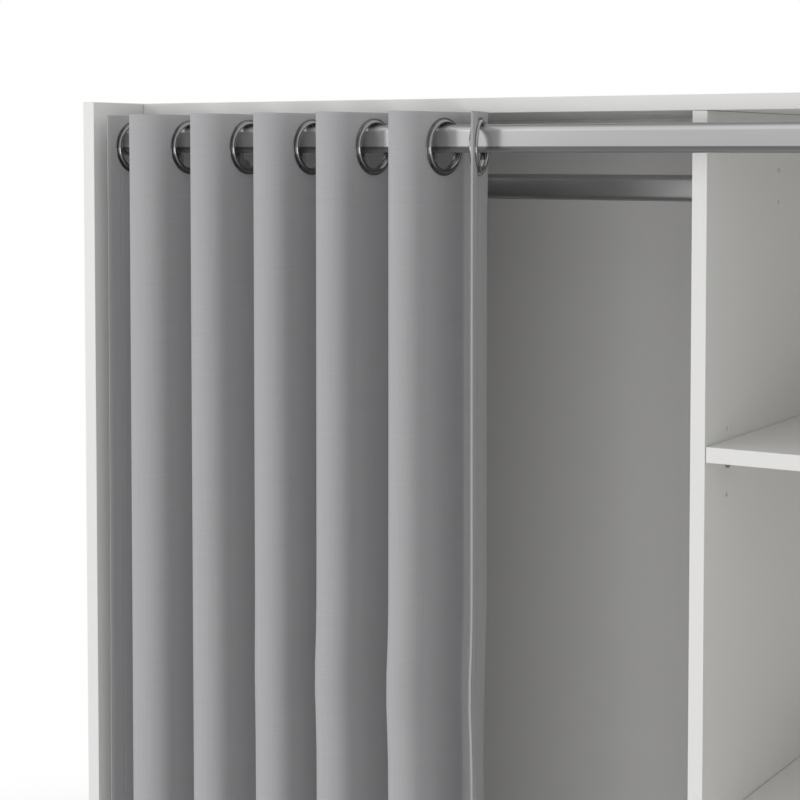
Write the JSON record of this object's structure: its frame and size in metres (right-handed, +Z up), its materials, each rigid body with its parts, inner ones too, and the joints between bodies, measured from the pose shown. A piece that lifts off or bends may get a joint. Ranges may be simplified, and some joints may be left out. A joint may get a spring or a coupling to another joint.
{
  "type": "curtain wardrobe",
  "caption": "White two-bay wardrobe with a hanging rail, a column of shelves, and a grey eyelet curtain that slides on a rod across the front.",
  "frame": {"origin": "on the floor, in the middle of the overall box", "axes": "+Z up, the open curtained front towards -Y, the hanging bay towards -X"},
  "size_m": [1.12, 0.5204, 2.03],
  "materials": {
    "white_board": "white melamine-faced board with banded edges, matt",
    "white_back_sheet": "thin white-faced hardboard",
    "white_strip": "white",
    "satin_steel": "satin",
    "fitting_metal": "satin",
    "zinc_support": "zinc plated, dull",
    "grey_plastic": "matt",
    "dark_nickel": "polished, dark",
    "grey_cloth": "smooth plain weave"
  },
  "bodies": {
    "carcass": {"back_joining_strip": "white_strip", "back_sheet_left": "white_back_sheet", "back_sheet_right": "white_back_sheet", "bottom_board": "white_board", "curtain_rod": "satin_steel", "glide_left_front": "grey_plastic", "glide_left_rear": "grey_plastic", "glide_right_front": "grey_plastic", "glide_right_rear": "grey_plastic", "hanging_rail": "satin_steel", "hanging_rail_bracket_left": "fitting_metal", "hanging_rail_bracket_right": "fitting_metal", "partition": "white_board", "plinth_board": "white_board", "plinth_brace": "white_board", "rod_socket_left": "fitting_metal", "rod_socket_right": "fitting_metal", "shelf_1": "white_board", "shelf_1_support_left_front": "zinc_support", "shelf_1_support_left_rear": "zinc_support", "shelf_1_support_right_front": "zinc_support", "shelf_1_support_right_rear": "zinc_support", "shelf_2": "white_board", "shelf_2_support_left_front": "zinc_support", "shelf_2_support_left_rear": "zinc_support", "shelf_2_support_right_front": "zinc_support", "shelf_2_support_right_rear": "zinc_support", "shelf_3": "white_board", "shelf_3_support_left_front": "zinc_support", "shelf_3_support_left_rear": "zinc_support", "shelf_3_support_right_front": "zinc_support", "shelf_3_support_right_rear": "zinc_support", "shelf_4": "white_board", "shelf_4_support_left_front": "zinc_support", "shelf_4_support_left_rear": "zinc_support", "shelf_4_support_right_front": "zinc_support", "shelf_4_support_right_rear": "zinc_support", "side_panel_left": "white_board", "side_panel_right": "white_board", "top_board": "white_board"},
    "curtain": {"curtain": "grey_cloth", "eyelet_12": "dark_nickel"},
    "eyelet_01": {"eyelet_01": "dark_nickel"},
    "eyelet_02": {"eyelet_02": "dark_nickel"},
    "eyelet_03": {"eyelet_03": "dark_nickel"},
    "eyelet_04": {"eyelet_04": "dark_nickel"},
    "eyelet_05": {"eyelet_05": "dark_nickel"},
    "eyelet_06": {"eyelet_06": "dark_nickel"},
    "eyelet_07": {"eyelet_07": "dark_nickel"},
    "eyelet_08": {"eyelet_08": "dark_nickel"},
    "eyelet_09": {"eyelet_09": "dark_nickel"},
    "eyelet_10": {"eyelet_10": "dark_nickel"},
    "eyelet_11": {"eyelet_11": "dark_nickel"}
  },
  "joints": [
    {"name": "curtain_slide", "type": "slide", "parent": "carcass", "child": "curtain", "axis": [1, 0, 0], "range_m": [-0.06, 0.6], "deforming": ["curtain"]},
    {"name": "eyelet_01_slide", "type": "slide", "parent": "carcass", "child": "eyelet_01", "axis": [1, 0, 0], "range_m": [-0.00238, 0.02382]},
    {"name": "eyelet_02_slide", "type": "slide", "parent": "carcass", "child": "eyelet_02", "axis": [1, 0, 0], "range_m": [-0.00623, 0.06234]},
    {"name": "eyelet_03_slide", "type": "slide", "parent": "carcass", "child": "eyelet_03", "axis": [1, 0, 0], "range_m": [-0.01147, 0.11468]},
    {"name": "eyelet_04_slide", "type": "slide", "parent": "carcass", "child": "eyelet_04", "axis": [1, 0, 0], "range_m": [-0.01895, 0.18945]},
    {"name": "eyelet_05_slide", "type": "slide", "parent": "carcass", "child": "eyelet_05", "axis": [1, 0, 0], "range_m": [-0.0251, 0.25098]},
    {"name": "eyelet_06_slide", "type": "slide", "parent": "carcass", "child": "eyelet_06", "axis": [1, 0, 0], "range_m": [-0.03417, 0.34166]},
    {"name": "eyelet_07_slide", "type": "slide", "parent": "carcass", "child": "eyelet_07", "axis": [1, 0, 0], "range_m": [-0.04036, 0.40354]},
    {"name": "eyelet_08_slide", "type": "slide", "parent": "carcass", "child": "eyelet_08", "axis": [1, 0, 0], "range_m": [-0.04779, 0.47791]},
    {"name": "eyelet_09_slide", "type": "slide", "parent": "carcass", "child": "eyelet_09", "axis": [1, 0, 0], "range_m": [-0.05244, 0.52445]},
    {"name": "eyelet_10_slide", "type": "slide", "parent": "carcass", "child": "eyelet_10", "axis": [1, 0, 0], "range_m": [-0.05805, 0.58052]},
    {"name": "eyelet_11_slide", "type": "slide", "parent": "carcass", "child": "eyelet_11", "axis": [1, 0, 0], "range_m": [-0.05961, 0.5961]}
  ],
  "couplings": [
    {"joint": "eyelet_01_slide", "follows": "curtain_slide", "ratio": 0.039697},
    {"joint": "eyelet_02_slide", "follows": "curtain_slide", "ratio": 0.1039},
    {"joint": "eyelet_03_slide", "follows": "curtain_slide", "ratio": 0.19113},
    {"joint": "eyelet_04_slide", "follows": "curtain_slide", "ratio": 0.31575},
    {"joint": "eyelet_05_slide", "follows": "curtain_slide", "ratio": 0.41829},
    {"joint": "eyelet_06_slide", "follows": "curtain_slide", "ratio": 0.56943},
    {"joint": "eyelet_07_slide", "follows": "curtain_slide", "ratio": 0.67257},
    {"joint": "eyelet_08_slide", "follows": "curtain_slide", "ratio": 0.79651},
    {"joint": "eyelet_09_slide", "follows": "curtain_slide", "ratio": 0.87408},
    {"joint": "eyelet_10_slide", "follows": "curtain_slide", "ratio": 0.96754},
    {"joint": "eyelet_11_slide", "follows": "curtain_slide", "ratio": 0.9935}
  ]
}
